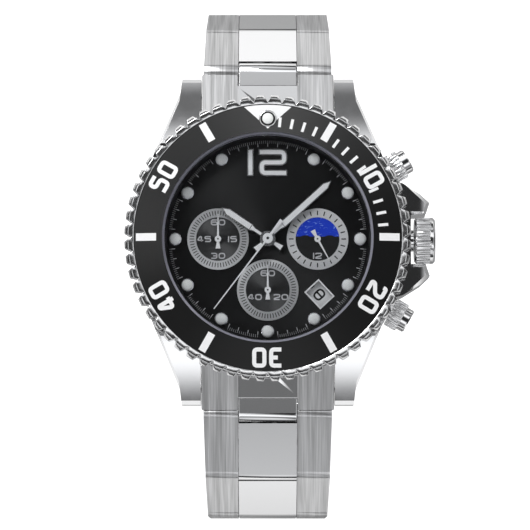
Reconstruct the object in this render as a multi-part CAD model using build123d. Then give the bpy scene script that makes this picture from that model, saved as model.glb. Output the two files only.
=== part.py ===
from build123d import *
import math
import os

os.makedirs("parts", exist_ok=True)

# A steel chronograph wristwatch, closed as it is worn.
# +Z points out of the dial, +Y to 12 o'clock, +X to the crown.
# The origin is the centre of the case back's outer face. All sizes are millimetres.

# ---- fits
running = 0.04          # shaft in its hole, per side
side_gap = 0.08         # between the rows of the bracelet, per side
link_gap = 0.08         # between one link's barrel and the next link's hollow end
first_gap = 0.2         # the same at the end links, where the bracelet bends most
free_gap = 0.10         # round pieces that turn past fixed ones

# ---- case middle
case_shoulder = 3.3     # top of the round case outside the neck
case_bottom = 0.8
case_top = 9.0
lug_gap = 20.0
lug_length = 4.0        # lug tips beyond the round case
lug_tip_width = 2.84
lug_tip_low = 1.9
lug_tip_high = 4.7
lug_edge_bevel = 0.35
lug_root = 8.0          # how far in from 12 o'clock the lugs are rooted, measured from the middle
lug_crest_in = 6.1      # where the lug's top begins, in from the edge of the round case
lug_crest_drop = 0.6    # top of the lug there, below the case's top
lug_waist = 2.2         # length of the narrower end of the lug
lug_waist_step = 0.25
lug_nose = 0.6          # length and height of the slope at the lug's tip
lug_nose_height = 0.75
lug_underside = 4.0     # length of the rising underside
flank_rise = 0.35       # how far beyond the round case the lug's flank runs out
flank_angle = 32.0
neck_wall = 1.45        # of the neck that carries the crystal and guides the bezel
neck_top = 11.0
case_edge = 0.8         # rounding off of the drum's lower edge
case_top_edge = 0.3
movement_bore = 14.9
dial_gap = 0.2          # round the dial
dial_seat = 8.2

# ---- case back
back_radius = 17.4
back_flange = 1.5
back_floor = 1.2
back_thread_radius = 15.6
back_thread_top = 2.8
back_wall = 1.0
back_notches = 6
gasket_width = 0.9
gasket_height = 0.55

# ---- crystal, bezel and insert
crystal_radius = 15.3
crystal_bottom = 10.4
crystal_top = 12.5
crystal_bevel = 0.35
crystal_seat = 0.45     # the crystal gasket's width
bezel_rim = 1.45        # steel outside the insert
bezel_bottom = 9.2
bezel_rim_top = 11.75
bezel_notches = 60
notch_depth = 1.1
notch_half_width = 0.62
insert_gap = 0.35       # from the crystal to the insert
insert_width = 4.15
insert_outer_height = 11.5
insert_inner_height = 12.3
insert_thickness = 0.8
pearl_in = 1.95         # centre of the pearl beyond the insert's inner edge
pearl_radius = 1.3
pearl_height = 0.35
click_spring_thickness = 0.12

# ---- dial and what stands on it
dial_beyond_crystal = 0.0   # how much wider the dial is than the crystal, per side
dial_thickness = 0.4
rehaut_foot = 0.4       # how far the ring covers the dial
rehaut_lip = 0.1        # how far it shows inside the crystal's edge
subdial_side = 7.4      # centre of the left and right counters
subdial_low = 7.6       # centre of the lower counter
subdial_radius = 4.6
subdial_ring_inner = 3.26
subdial_ring_thickness = 0.16
subdial_recess = 0.1
plot_orbit = 13.8
plot_radius = 0.95
plot_height = 0.3
numeral_height = 4.06
numeral_base = 9.4
numeral_stroke = 0.9
numeral_thickness = 0.3
window_orbit = 11.25
window_angle = 137.0    # clockwise from 12
window_length = 3.1
window_width = 2.5
window_frame = 0.2
window_frame_thickness = 0.12

# ---- movement
movement_radius = 13.65
plate_bottom = 4.8
plate_top = 6.4
date_step = 7.4
date_gap = 0.1
date_thickness = 0.3
date_inner_radius = 9.5
date_outer_radius = 13.2
date_teeth = 31
cover_bottom = 2.6
cover_thickness = 0.3
board_thickness = 0.4
battery_radius = 4.75
battery_height = 2.1
battery_place = (-5.6, 4.4)
post_orbit = 9.5
post_radius = 0.8
post_angles = (-20, 75, 240)
coil_length = 7.0
coil_radius = 0.7
coil_core_width = 1.2
coil_core_thickness = 0.4
coil_core_end = 1.2     # core beyond the winding, at each end

# ---- hands: angles are clockwise from 12
hour_angle = 304.0
minute_angle = 47.7
chrono_angle = 217.2
day_night_angle = 151.0
hand_thickness = 0.2
thin_hand_thickness = 0.14
hour_hand_bottom = 9.2
minute_hand_bottom = 9.6
chrono_hand_bottom = 10.0
small_hand_bottom = 8.84
hour_length = 8.3
minute_length = 12.8
chrono_length = 13.2
hand_width = 1.05
hand_neck_width = 0.56
hand_tail = 2.56
hand_hub_radius = 1.15
hand_neck_end = 2.3
hand_shoulder = 3.0
hand_point = 1.1        # length of the pointed end
chrono_width = 0.25
chrono_tail = 3.4
chrono_tail_width = 0.55
chrono_hub_radius = 0.75
chrono_hub_rise = 0.1
small_length = 3.75
small_tail = 1.45
small_hub_radius = 0.48
small_tail_width = 0.72
small_needle_width = 0.32
small_tip_width = 0.1
small_arbor_radius = 0.2
chrono_arbor_radius = 0.22
cannon_radius = 0.5
hour_pipe_radius = 0.85

# ---- motion work: 3 to 1 and then 4 to 1
wheel_thickness = 0.3
cannon_pinion_radius = 0.75
minute_wheel_ratio = 3
hour_pinion_radius = 0.6
hour_wheel_ratio = 4
lower_wheel_bottom = 6.5
upper_wheel_bottom = 7.0
tooth_depth = 0.16

# ---- crown and its stem
stem_height = 5.6       # axis of the crown and the pushers above the case back
stem_radius = 0.6
stem_inner_end = 8.6
stem_groove_radius = 0.35
stem_groove_place = 9.3
stem_groove_width = 0.4
crown_travel = 1.2
crown_radius = 3.45
crown_gap = 0.6         # between the case's flat and the crown
crown_length = 3.05
crown_flutes = 32
crown_flute_depth = 0.22
crown_bore_depth = 1.5
crown_bevel = 0.3
crown_end_band = 0.75   # plain band at the crown's outer end
stem_seat_depth = 0.6   # stem in the crown beyond the bore
stem_gasket_place = 17.6
stem_gasket_length = 0.8
fork_width = 2.4
fork_height = 2.2
tube_radius = 1.6
tube_bore = 0.95
tube_stand = 0.45       # crown tube beyond the flat
boss_rise = 0.8         # flat between the crown guards, beyond the round case
guard_slot = 3.65       # half the width of the space for the crown
guard_nose = 0.6        # how far the guard slopes back inside the slot
guard_outline = [(-3.5, 5.6), (-0.4, 4.7), (2.2, 3.1), (3.6, 1.8)]   # from the round case, and from the slot
guard_bevel = 0.5
guard_low = 1.8
guard_high = 8.5

# ---- pushers
pusher_angle = 30.0
pusher_travel = 1.0
pusher_cap_radius = 1.8
pusher_rest_gap = 0.05  # between a pressed cap and the collar's floor
pusher_cap_end = 0.45   # thickness of the cap's end
pusher_shaft_radius = 0.5
pusher_inner_end = 15.3
pusher_cap_length = 1.75
collar_wall = 0.36      # outside the cap
collar_length = 1.95
collar_gap = 0.1        # between the seat and the collar
collar_floor = 0.3
collar_flutes = 24
collar_flute_depth = 0.16
pusher_seat_rim = 0.35  # seat beyond the collar
pusher_seat_rise = 0.6  # seat beyond the round case
pusher_tube_radius = 1.1
spring_tube_wall = 0.15  # tube outside the spring
pusher_tube_stand = 0.7  # tube beyond the collar's inner face
spring_wire = 0.09
spring_turns = 3
spring_seat_depth = 0.9  # how far the pusher tube is bored out for the spring

# ---- bracelet: angles are each link's slope below the horizontal
link_pitch = 9.4
link_half_thickness = 1.65
first_pivot_out = 5.2   # first pivot beyond the round case
first_pivot_height = 2.6
slopes_6 = [27.5, 56.5, 88.5, 108.0, 128.0, 148.0]
slopes_12 = [49.0, 67.0, 82.0, 103.0, 128.0, 150.0, 165.0]
centre_width = 8.75
end_link_gap = 0.1      # between the end link and each lug
link_shoulder = 0.3     # step from the end link to the first link, per side
end_width = 16.4
link_pin_radius = 0.5
pin_recess = 0.25
end_link_crest = 7.9
end_link_crest_in = 2.9  # where the end link's slope begins, in from the edge of the round case
spring_bar_out = 1.7    # lug spring bar beyond the round case
spring_bar_height = 2.7
spring_bar_radius = 0.75
spring_bar_tip_radius = 0.4
spring_bar_tip = 0.9
tongue_out = 0.4        # inner end of the tongue beyond the round case
tongue_top = 4.15
tongue_face_out = 3.0   # where the tongue shows, beyond the round case

# ---- folding clasp, on arcs about its own centre
clasp_arc = 50.0
cover_plate = 0.9
cover_lift = 0.3        # space between the links' outside and the cover
cover_side_gap = 0.25   # between the last link and the cover's walls, per side
cover_wall = 0.8
cover_skirt = 1.4
cover_overlap = 3.2     # cover beyond the spring bar
blade_side_space = 1.95  # between the blades and the cover's walls, per side
blade_thickness = 0.8
blade_spacing = 0.3
fold_pin_radius = 0.45
fold_barrel_radius = 1.15
clasp_end_inset = 0.25   # how much smaller the blade's end barrels are than a link's
cover_barrel_radius = 0.95
fold_offset_12 = 5.5    # from the spring bar to the fold between the blades
fold_offset_6 = 4.6     # from the last bracelet pin to the fold at the cover
adjust_holes = 4
adjust_pitch = 2.4
catch_length = 1.2
catch_gap = 0.25        # between the last link's barrel and the catch

# ---- sizes that follow from those above
neck_radius = crystal_radius + crystal_seat + neck_wall
case_radius = neck_radius + case_shoulder
dial_radius = crystal_radius + dial_beyond_crystal
dial_top = dial_seat + dial_thickness
dial_bore = dial_radius + dial_gap
insert_inner_radius = crystal_radius + insert_gap
insert_radius = insert_inner_radius + insert_width
pearl_orbit = insert_inner_radius + pearl_in
bezel_radius = insert_radius + bezel_rim
rehaut_foot_radius = dial_radius - rehaut_foot
rehaut_top_radius = crystal_radius - rehaut_lip
lug_tip_reach = case_radius + lug_length
flank_radius = case_radius + flank_rise
lug_crest = case_radius - lug_crest_in
boss_face = case_radius + boss_rise
tube_outer_end = boss_face + tube_stand
crown_inner_face = boss_face + crown_gap
crown_outer_face = crown_inner_face + crown_length
collar_radius = pusher_cap_radius + running + collar_wall
pusher_seat_radius = collar_radius + pusher_seat_rim
pusher_seat_face = case_radius + pusher_seat_rise
collar_inner_face = pusher_seat_face + collar_gap
collar_outer_face = collar_inner_face + collar_length
pusher_tube_end = collar_inner_face + pusher_tube_stand
cap_inner_face = collar_inner_face + collar_floor + pusher_travel + pusher_rest_gap
pusher_face = cap_inner_face + pusher_cap_length
first_pivot_reach = case_radius + first_pivot_out
spring_bar_reach = case_radius + spring_bar_out
tongue_start = case_radius + tongue_out
tongue_face = case_radius + tongue_face_out
end_link_width = lug_gap - 2 * end_link_gap
start_width = end_link_width - 2 * link_shoulder
cover_inner_width = end_width + 2 * cover_side_gap
blade_width = cover_inner_width - 2 * blade_side_space


# ---- shape helpers
def place(x, y, z, shape):
    return Pos(x, y, z) * shape


def upright(radius, low, high):
    """A plain cylinder about Z from one height to another."""
    return Pos(0, 0, low) * Cylinder(radius, high - low, align=(Align.CENTER, Align.CENTER, Align.MIN))


def washer(outer, inner, low, high):
    return upright(outer, low, high) - upright(inner, low - 1, high + 1)


def turned(points):
    """A solid of revolution about Z from (radius, height) points."""
    corners = [(radius, 0, height) for radius, height in points]
    return revolve(make_face(Polyline(corners, close=True)), axis=Axis.Z)


def plate(points, low, high):
    """A flat plate with straight sides, from (x, y) points."""
    corners = [(x, y, low) for x, y in points]
    return extrude(make_face(Polyline(corners, close=True)), amount=high - low, dir=(0, 0, 1))


def across(points, left, right):
    """A bar along X whose section is given as (y, z) points."""
    corners = [(left, y, z) for y, z in points]
    return extrude(make_face(Polyline(corners, close=True)), amount=right - left, dir=(1, 0, 0))


def rod_x(radius, left, right, y=0.0, z=0.0):
    """A round rod along X."""
    rod = Cylinder(radius, right - left, align=(Align.CENTER, Align.CENTER, Align.MIN))
    return Pos(left, y, z) * Rot(0, 90, 0) * rod


def both_sides(shape):
    """The shape and its mirror image across the plane through 12 and 6 o'clock."""
    return [shape, mirror(shape, about=Plane.YZ)]


def around(count, shape):
    """Copies of a shape at equal angles about Z."""
    return [Rot(0, 0, 360.0 * i / count) * shape for i in range(count)]


def clockwise(angle, shape):
    """A shape drawn towards 12 o'clock, turned clockwise as seen from the front."""
    return Rot(0, 0, -angle) * shape


def toothed(radius, low, high, teeth, depth):
    """A plain wheel with straight-sided gaps cut into its edge."""
    half = math.pi * radius / teeth / 2
    gap_points = [(radius - depth, -half * 0.6), (radius + 1, -half * 1.4), (radius + 1, half * 1.4),
                  (radius - depth, half * 0.6)]
    return upright(radius, low, high) - around(teeth, plate(gap_points, low - 1, high + 1))


def write(name, shapes):
    """One STEP file for one node, from one solid or a list of them."""
    pieces = shapes if isinstance(shapes, list) else [shapes]
    solids = [solid for piece in pieces for solid in piece.solids()]
    export_step(solids[0] if len(solids) == 1 else Compound(children=solids), "parts/" + name + ".step")


# ---- case middle: a turned drum with four lugs, crown guards and pusher seats
def make_lug():
    flank = math.radians(flank_angle)
    tip_x = lug_gap / 2 + lug_tip_width
    waist_y = lug_tip_reach - lug_waist
    plan = plate([(lug_gap / 2, lug_root), (lug_gap / 2, lug_tip_reach), (tip_x, lug_tip_reach),
                  (tip_x + lug_waist_step, waist_y),
                  (flank_radius * math.cos(flank), flank_radius * math.sin(flank)),
                  (movement_bore, lug_root)], 0, case_top)
    side = across([(lug_root, case_bottom), (lug_tip_reach - lug_underside, case_bottom),
                   (lug_tip_reach, lug_tip_low), (lug_tip_reach, lug_tip_high),
                   (lug_tip_reach - lug_nose, lug_tip_high + lug_nose_height),
                   (lug_crest, case_top - lug_crest_drop), (lug_root, case_top - lug_crest_drop)],
                  0, flank_radius)
    lug = plan & side
    flank_edge = [edge for edge in lug.edges()
                  if lug_crest < edge.center().Y < waist_y and edge.center().Z > lug_tip_high
                  and edge.center().X > lug_gap / 2 + lug_edge_bevel]
    return chamfer(flank_edge, lug_edge_bevel)


def make_guards():
    upper = [(case_radius + out, guard_slot + beyond) for out, beyond in guard_outline]
    upper += [(upper[-1][0] - guard_nose, guard_slot), (boss_face, guard_slot)]
    lower = [(x, -y) for x, y in reversed(upper)]
    block = plate(upper + lower, guard_low, guard_high)
    rims = [edge for edge in block.edges() if abs((edge @ 1 - edge @ 0).Z) < 0.01
            and edge.center().X > boss_face + guard_bevel]
    return chamfer(rims, guard_bevel)


def along_pusher(side, shape):
    """A shape drawn along +X from the middle of the watch, moved onto a pusher's axis."""
    return Pos(0, 0, stem_height) * Rot(0, 0, side * pusher_angle) * shape


def make_case_middle():
    drum = turned([(movement_bore, case_bottom), (case_radius - case_edge, case_bottom),
                   (case_radius, case_bottom + case_edge), (case_radius, case_top - case_top_edge),
                   (case_radius - case_top_edge, case_top), (neck_radius, case_top), (neck_radius, neck_top),
                   (movement_bore, neck_top)])
    lug = make_lug()
    lugs = [piece for half in both_sides(lug) for piece in (half, mirror(half, about=Plane.XZ))]
    seats = [along_pusher(side, rod_x(pusher_seat_radius, case_radius - 3, pusher_seat_face))
             for side in (1, -1)]
    case = drum + lugs + make_guards() + seats
    case -= upright(movement_bore, 0, neck_top)
    case -= upright(back_radius + free_gap, 0, back_flange)
    case -= upright(back_thread_radius + free_gap, 0, back_thread_top + 0.2)
    case -= upright(back_thread_radius + free_gap + gasket_width, 0, back_flange + gasket_height)
    case -= upright(dial_bore, dial_seat, neck_top + 1)
    case -= upright(crystal_radius + crystal_seat, crystal_bottom, neck_top + 1)
    case -= place(0, 0, stem_height, rod_x(tube_radius, 10, boss_face + 1))
    for side in (1, -1):
        case -= along_pusher(side, rod_x(pusher_tube_radius, 10, pusher_seat_face + 1))
        case -= along_pusher(side, rod_x(collar_radius + free_gap, pusher_seat_face, pusher_face))
    for end in (1, -1):
        tip_end = lug_gap / 2 + spring_bar_tip
        case -= rod_x(spring_bar_tip_radius, -tip_end, tip_end, end * spring_bar_reach, spring_bar_height)
    return case


def make_case_back():
    inner = back_thread_radius - back_wall
    back = turned([(0, 0), (back_radius - 0.5, 0), (back_radius, 0.5), (back_radius, back_flange),
                   (back_thread_radius, back_flange), (back_thread_radius, back_thread_top),
                   (inner, back_thread_top), (inner, back_floor), (0, back_floor)])
    notch = place(back_radius, 0, 0, Box(2.4, 1.8, 1.0))
    return back - around(back_notches, notch)


def make_gaskets():
    back_inner = back_thread_radius + free_gap
    back_ring = washer(back_inner + gasket_width, back_inner + 0.05, back_flange,
                       back_flange + gasket_height)
    crystal_ring = washer(crystal_radius + crystal_seat, crystal_radius, crystal_bottom, neck_top + 0.05)
    stem_ring = rod_x(tube_bore, stem_gasket_place, stem_gasket_place + stem_gasket_length)
    stem_ring -= rod_x(stem_radius + running / 2, 0, crown_inner_face)
    return [back_ring, crystal_ring, place(0, 0, stem_height, stem_ring)]


write("case_middle", make_case_middle())
write("case_back", make_case_back())
write("gaskets", make_gaskets())


# ---- crystal, and the ring between it and the dial
def make_crystal():
    return turned([(0, crystal_bottom), (crystal_radius, crystal_bottom),
                   (crystal_radius, crystal_top - crystal_bevel),
                   (crystal_radius - crystal_bevel, crystal_top), (0, crystal_top)])


def make_rehaut():
    outer = dial_bore - 0.05
    return turned([(rehaut_foot_radius, dial_top), (outer, dial_top), (outer, crystal_bottom),
                   (rehaut_top_radius, crystal_bottom)])


write("crystal", make_crystal())
write("rehaut", make_rehaut())


# ---- turning bezel: steel ring, insert and luminous pearl, over a click spring on the case
def insert_height(radius):
    """Height of the insert's sloping face."""
    slope = (insert_inner_height - insert_outer_height) / (insert_radius - insert_inner_radius)
    return insert_inner_height - slope * (radius - insert_inner_radius)


def make_bezel_ring():
    inner = neck_radius + free_gap
    seat = insert_radius + 0.05
    ring = turned([(inner, bezel_bottom), (bezel_radius - 0.4, bezel_bottom),
                   (bezel_radius, bezel_bottom + 0.4), (bezel_radius, bezel_rim_top - 0.6),
                   (bezel_radius - 0.6, bezel_rim_top),
                   (seat, bezel_rim_top - 0.1), (seat, insert_height(seat) - insert_thickness),
                   (inner, insert_height(inner) - insert_thickness)])
    deep = bezel_radius - notch_depth
    notch = plate([(deep, 0), (bezel_radius + 0.2, -notch_half_width - 0.1),
                   (bezel_radius + 0.2, notch_half_width + 0.1)], bezel_bottom - 1, bezel_rim_top + 1)
    return ring - around(bezel_notches, notch)


def make_insert():
    inner = insert_inner_radius
    insert = turned([(inner, insert_inner_height - insert_thickness), (inner, insert_inner_height),
                     (insert_radius, insert_outer_height),
                     (insert_radius, insert_outer_height - insert_thickness)])
    return insert - place(0, pearl_orbit, 0, upright(pearl_radius, 0, insert_inner_height + 1))


def make_pearl():
    low = insert_height(pearl_orbit - pearl_radius) - insert_thickness
    pearl = upright(pearl_radius, bezel_bottom, insert_height(pearl_orbit) + pearl_height)
    below = turned([(0, bezel_bottom - 1), (bezel_radius, bezel_bottom - 1),
                    (bezel_radius, insert_height(bezel_radius) - insert_thickness),
                    (0, insert_height(0) - insert_thickness)])
    return fillet((place(0, pearl_orbit, 0, pearl) - below).edges().sort_by(Axis.Z)[-1], 0.25)


def make_click_spring():
    ring = washer(neck_radius + 1.6, neck_radius + 0.3, case_top, case_top + click_spring_thickness)
    slit = clockwise(15, place(0, neck_radius + 1.0, case_top, Box(3.2, 0.3, 1.0)))
    return ring - around(3, slit)


write("bezel_ring", make_bezel_ring())
write("bezel_insert", make_insert())
write("bezel_pearl", make_pearl())
write("bezel_click_spring", make_click_spring())


# ---- dial
subdial_places = [(-subdial_side, 0), (subdial_side, 0), (0, -subdial_low)]


def at_window(shape):
    """A shape drawn lengthways along +Y, moved to the date window."""
    return clockwise(window_angle, Pos(0, window_orbit, 0) * shape)


def make_dial():
    dial = upright(dial_radius, dial_seat, dial_top)
    dial -= upright(hour_pipe_radius + free_gap, 0, dial_top + 1)
    for x, y in subdial_places:
        dial -= place(x, y, 0, upright(subdial_radius, dial_top - subdial_recess, dial_top + 1))
        dial -= place(x, y, 0, upright(small_arbor_radius + free_gap, 0, dial_top + 1))
    opening = Pos(0, 0, dial_top) * Box(window_width, window_length, 2)
    return dial - at_window(opening)


def make_subdial_rings():
    low = dial_top - subdial_recess
    ring = washer(subdial_radius - 0.02, subdial_ring_inner, low, low + subdial_ring_thickness)
    return [place(x, y, 0, ring) for x, y in subdial_places]


def make_hour_plots():
    cup = turned([(0, dial_top), (plot_radius, dial_top), (plot_radius, dial_top + plot_height * 0.6),
                  (plot_radius * 0.8, dial_top + plot_height), (0, dial_top + plot_height)])
    return [clockwise(30 * hour, place(0, plot_orbit, 0, cup)) for hour in range(1, 12)]


def make_numeral():
    stroke = numeral_stroke
    low = numeral_base
    high = numeral_base + numeral_height
    middle = (low + high) / 2
    one = plate([(-3.05, low), (-3.05 + stroke, low), (-3.05 + stroke, high), (-3.05, high)],
                dial_top, dial_top + numeral_thickness)
    left = -1.35
    right = 2.9
    two = plate([(left, low), (right, low), (right, low + stroke), (left + stroke, low + stroke),
                 (left + stroke, middle - stroke / 2), (right, middle - stroke / 2), (right, high),
                 (left, high), (left, high - stroke), (right - stroke, high - stroke),
                 (right - stroke, middle + stroke / 2), (left, middle + stroke / 2)],
                dial_top, dial_top + numeral_thickness)
    return [one, two]


def make_window_frame():
    high = dial_top + window_frame_thickness
    outer = Box(window_width + 2 * window_frame, window_length + 2 * window_frame, window_frame_thickness,
                align=(Align.CENTER, Align.CENTER, Align.MIN))
    frame = place(0, 0, dial_top, outer) - Pos(0, 0, high) * Box(window_width, window_length, 2)
    return at_window(frame)


write("dial", make_dial())
write("subdial_rings", make_subdial_rings())
write("hour_plots", make_hour_plots())
write("numeral_12", make_numeral())
write("date_window_frame", make_window_frame())


# ---- movement
def make_movement_ring():
    ring = washer(movement_bore - 0.05, movement_radius, back_thread_top, dial_seat)
    ring -= place(0, 0, stem_height, rod_x(tube_radius + free_gap, 10, 20))
    for side in (1, -1):
        ring -= along_pusher(side, rod_x(pusher_tube_radius + free_gap, 10, 20))
    return ring


def make_main_plate():
    plate_body = upright(movement_radius, plate_bottom, dial_seat)
    plate_body -= upright(date_outer_radius + date_gap, date_step, dial_seat + 1)
    plate_body -= upright(date_inner_radius - 0.6, plate_top, dial_seat + 1)
    plate_body -= place(0, 0, stem_height, rod_x(stem_radius + running, stem_inner_end - 0.4, 20))
    pocket_length = crown_travel + stem_groove_width + 0.9
    pocket = Box(pocket_length, fork_width + 0.8, fork_height + 0.4,
                 align=(Align.MIN, Align.CENTER, Align.CENTER))
    plate_body -= place(stem_groove_place - 0.3, 0, stem_height, pocket)
    for x, y in subdial_places:
        plate_body -= place(x, y, 0, upright(small_arbor_radius + running, 0, 10))
    plate_body -= upright(chrono_arbor_radius + running, 0, 10)
    plate_body -= place(0, minute_wheel_reach, 0, upright(small_arbor_radius + running, 0, 10))
    return plate_body


def make_date_disc():
    low = date_step + date_gap
    disc = washer(date_outer_radius, date_inner_radius, low, low + date_thickness)
    gap = plate([(date_inner_radius - 1, -0.6), (date_inner_radius + 0.35, -0.35),
                 (date_inner_radius + 0.35, 0.35), (date_inner_radius - 1, 0.6)], low - 1, low + 1)
    return disc - around(date_teeth, gap)


battery_x, battery_y = battery_place


def at_posts(shape):
    """Copies of a shape where the movement cover's posts stand."""
    return [Rot(0, 0, angle) * Pos(post_orbit, 0, 0) * shape for angle in post_angles]


def make_movement_cover():
    cover = upright(movement_radius, cover_bottom, cover_bottom + cover_thickness)
    cover -= place(battery_x, battery_y, 0, upright(battery_radius + free_gap, 0, 10))
    return cover + at_posts(upright(post_radius, cover_bottom, plate_bottom))


def make_circuit_board():
    low = cover_bottom + cover_thickness
    board = upright(movement_radius - 0.6, low, low + board_thickness)
    board -= place(battery_x, battery_y, 0, upright(battery_radius + 0.3, 0, 10))
    return board - at_posts(upright(post_radius + free_gap, 0, 10))


def make_battery():
    cell = upright(battery_radius, plate_bottom - battery_height, plate_bottom)
    return place(battery_x, battery_y, 0, cell)


def make_coils():
    height = plate_bottom - coil_radius
    core = Box(coil_length + 2 * coil_core_end, coil_core_width, coil_core_thickness)
    winding = rod_x(coil_radius, -coil_length / 2, coil_length / 2)
    coil = winding + place(0, 0, coil_radius - coil_core_thickness / 2, core)
    return [place(2.5, -8.2, height, coil), place(6.2, 4.5, height, Rot(0, 0, 55) * coil)]


write("movement_ring", make_movement_ring())
write("movement_cover", make_movement_cover())
write("circuit_board", make_circuit_board())
write("battery", make_battery())
write("motor_coils", make_coils())

# ---- motion work: the cannon pinion turns the minute wheel, whose pinion turns the hour wheel
minute_wheel_radius = cannon_pinion_radius * minute_wheel_ratio
hour_wheel_radius = hour_pinion_radius * hour_wheel_ratio
minute_wheel_reach = max(cannon_pinion_radius + minute_wheel_radius,
                         hour_pinion_radius + hour_wheel_radius) + 0.06

write("main_plate", make_main_plate())
write("date_disc", make_date_disc())


def make_cannon_pinion():
    pipe = upright(cannon_radius, lower_wheel_bottom, minute_hand_bottom + hand_thickness)
    pinion = toothed(cannon_pinion_radius, lower_wheel_bottom, lower_wheel_bottom + wheel_thickness, 10,
                     tooth_depth)
    return pipe + pinion - upright(chrono_arbor_radius + running, 0, 20)


def make_minute_wheel():
    wheel = toothed(minute_wheel_radius, lower_wheel_bottom, lower_wheel_bottom + wheel_thickness, 30,
                    tooth_depth)
    pinion = toothed(hour_pinion_radius, lower_wheel_bottom, upper_wheel_bottom + wheel_thickness, 8,
                     tooth_depth)
    pivot = upright(small_arbor_radius, plate_bottom + 0.6, lower_wheel_bottom + 0.1)
    return place(0, minute_wheel_reach, 0, wheel + pinion + pivot)


def make_hour_wheel():
    wheel = toothed(hour_wheel_radius, upper_wheel_bottom, upper_wheel_bottom + wheel_thickness, 32,
                    tooth_depth)
    pipe = upright(hour_pipe_radius, upper_wheel_bottom, hour_hand_bottom + hand_thickness)
    return wheel + pipe - upright(cannon_radius + running, 0, 20)


write("cannon_pinion", make_cannon_pinion())
write("minute_wheel", make_minute_wheel())
write("hour_wheel", make_hour_wheel())


# ---- hands
def baton_hand(length, hub, hole, low):
    """A baton with a narrow neck, a pointed end and a short tail."""
    wide = hand_width / 2
    neck = hand_neck_width / 2
    blade = [(-wide * 0.9, -hand_tail), (wide * 0.9, -hand_tail), (neck, -hub * 0.8), (neck, hand_neck_end),
             (wide, hand_shoulder), (wide, length - hand_point), (0, length), (-wide, length - hand_point),
             (-wide, hand_shoulder), (-neck, hand_neck_end), (-neck, -hub * 0.8)]
    hand = plate(blade, low, low + hand_thickness) + upright(hub, low, low + hand_thickness)
    return hand - upright(hole, 0, 20)


def make_chrono_hand():
    low = chrono_hand_bottom
    high = low + thin_hand_thickness
    half = chrono_width / 2
    tail_half = chrono_tail_width / 2
    needle = plate([(-tail_half, -chrono_tail), (tail_half, -chrono_tail), (half, 0.6),
                    (half * 0.6, chrono_length), (-half * 0.6, chrono_length), (-half, 0.6)], low, high)
    hub = upright(chrono_hub_radius, low, high + chrono_hub_rise)
    arbor = upright(chrono_arbor_radius, plate_bottom + 0.6, low)
    return clockwise(chrono_angle, needle + hub), arbor


def small_hand(x, y, angle):
    """A needle for a counter with its hub, and the arbor that it is pressed on."""
    low = small_hand_bottom
    high = low + thin_hand_thickness
    tail = small_tail_width / 2
    middle = small_needle_width / 2
    tip = small_tip_width / 2
    inside = small_hub_radius - 0.18
    needle = plate([(-tail, -small_tail), (tail, -small_tail), (middle, -inside), (middle, inside),
                    (tip, small_length), (-tip, small_length), (-middle, inside), (-middle, -inside)],
                   low, high)
    hub = upright(small_hub_radius, low, high + 0.06)
    arbor = upright(small_arbor_radius, plate_bottom + 0.6, low)
    return [place(x, y, 0, clockwise(angle, needle + hub)), place(x, y, 0, arbor)]


write("hour_hand", clockwise(hour_angle, baton_hand(hour_length, hand_hub_radius, hour_pipe_radius,
                                                    hour_hand_bottom)))
write("minute_hand", clockwise(minute_angle, baton_hand(minute_length, hand_hub_radius * 0.85, cannon_radius,
                                                        minute_hand_bottom)))
write("chrono_hand", list(make_chrono_hand()))
write("counter_hand", small_hand(-subdial_side, 0, 0.0))
write("day_night_hand", small_hand(subdial_side, 0, day_night_angle))
write("seconds_hand", small_hand(0, -subdial_low, 0.0))


# ---- crown, stem and the tube that they run in
def make_crown():
    body = rod_x(crown_radius, crown_inner_face, crown_outer_face)
    body = chamfer(body.edges().filter_by(GeomType.CIRCLE), crown_bevel)
    flute = rod_x(crown_flute_depth * 1.4, crown_inner_face + crown_bevel, crown_outer_face - crown_end_band,
                  crown_radius + crown_flute_depth * 0.4)
    flutes = [Rot(360.0 * i / crown_flutes, 0, 0) * flute for i in range(crown_flutes)]
    body -= flutes
    body -= rod_x(tube_radius + free_gap, crown_inner_face - 1, crown_inner_face + crown_bore_depth)
    body -= rod_x(stem_radius, crown_inner_face - 1, crown_inner_face + crown_bore_depth + stem_seat_depth)
    return place(0, 0, stem_height, body)


def make_stem():
    stem = rod_x(stem_radius, stem_inner_end, crown_inner_face + crown_bore_depth + stem_seat_depth)
    groove = (rod_x(stem_radius + 1, stem_groove_place, stem_groove_place + stem_groove_width)
              - rod_x(stem_groove_radius, stem_groove_place - 1, stem_groove_place + 2))
    return place(0, 0, stem_height, stem - groove)


def make_stem_fork():
    thickness = stem_groove_width - 2 * running
    fork = Box(thickness, fork_width, fork_height)
    slot = place(0, 0, -fork_height / 2, Box(1, 2 * (stem_groove_radius + running), fork_height))
    fork -= slot
    fork -= rod_x(stem_groove_radius + running, -1, 1)
    return place(stem_groove_place + stem_groove_width / 2, 0, stem_height, fork)


def make_crown_tube():
    tube = rod_x(tube_radius, movement_bore + 0.1, tube_outer_end)
    return place(0, 0, stem_height, tube - rod_x(tube_bore, 0, 30))


write("crown", make_crown())
write("stem", make_stem())
write("stem_fork", make_stem_fork())


# ---- pushers: a cap on a shaft, in a tube, with a knurled collar round the cap
def make_pusher(side):
    cap = rod_x(pusher_cap_radius, cap_inner_face, pusher_face)
    cap = chamfer(cap.edges().filter_by(GeomType.CIRCLE).sort_by(Axis.X)[-1], 0.2)
    hollow = rod_x(pusher_tube_radius + 0.2, cap_inner_face - 1, pusher_face - pusher_cap_end)
    shaft = rod_x(pusher_shaft_radius, pusher_inner_end, pusher_face - pusher_cap_end + 0.05)
    return along_pusher(side, cap - hollow + shaft)


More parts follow.
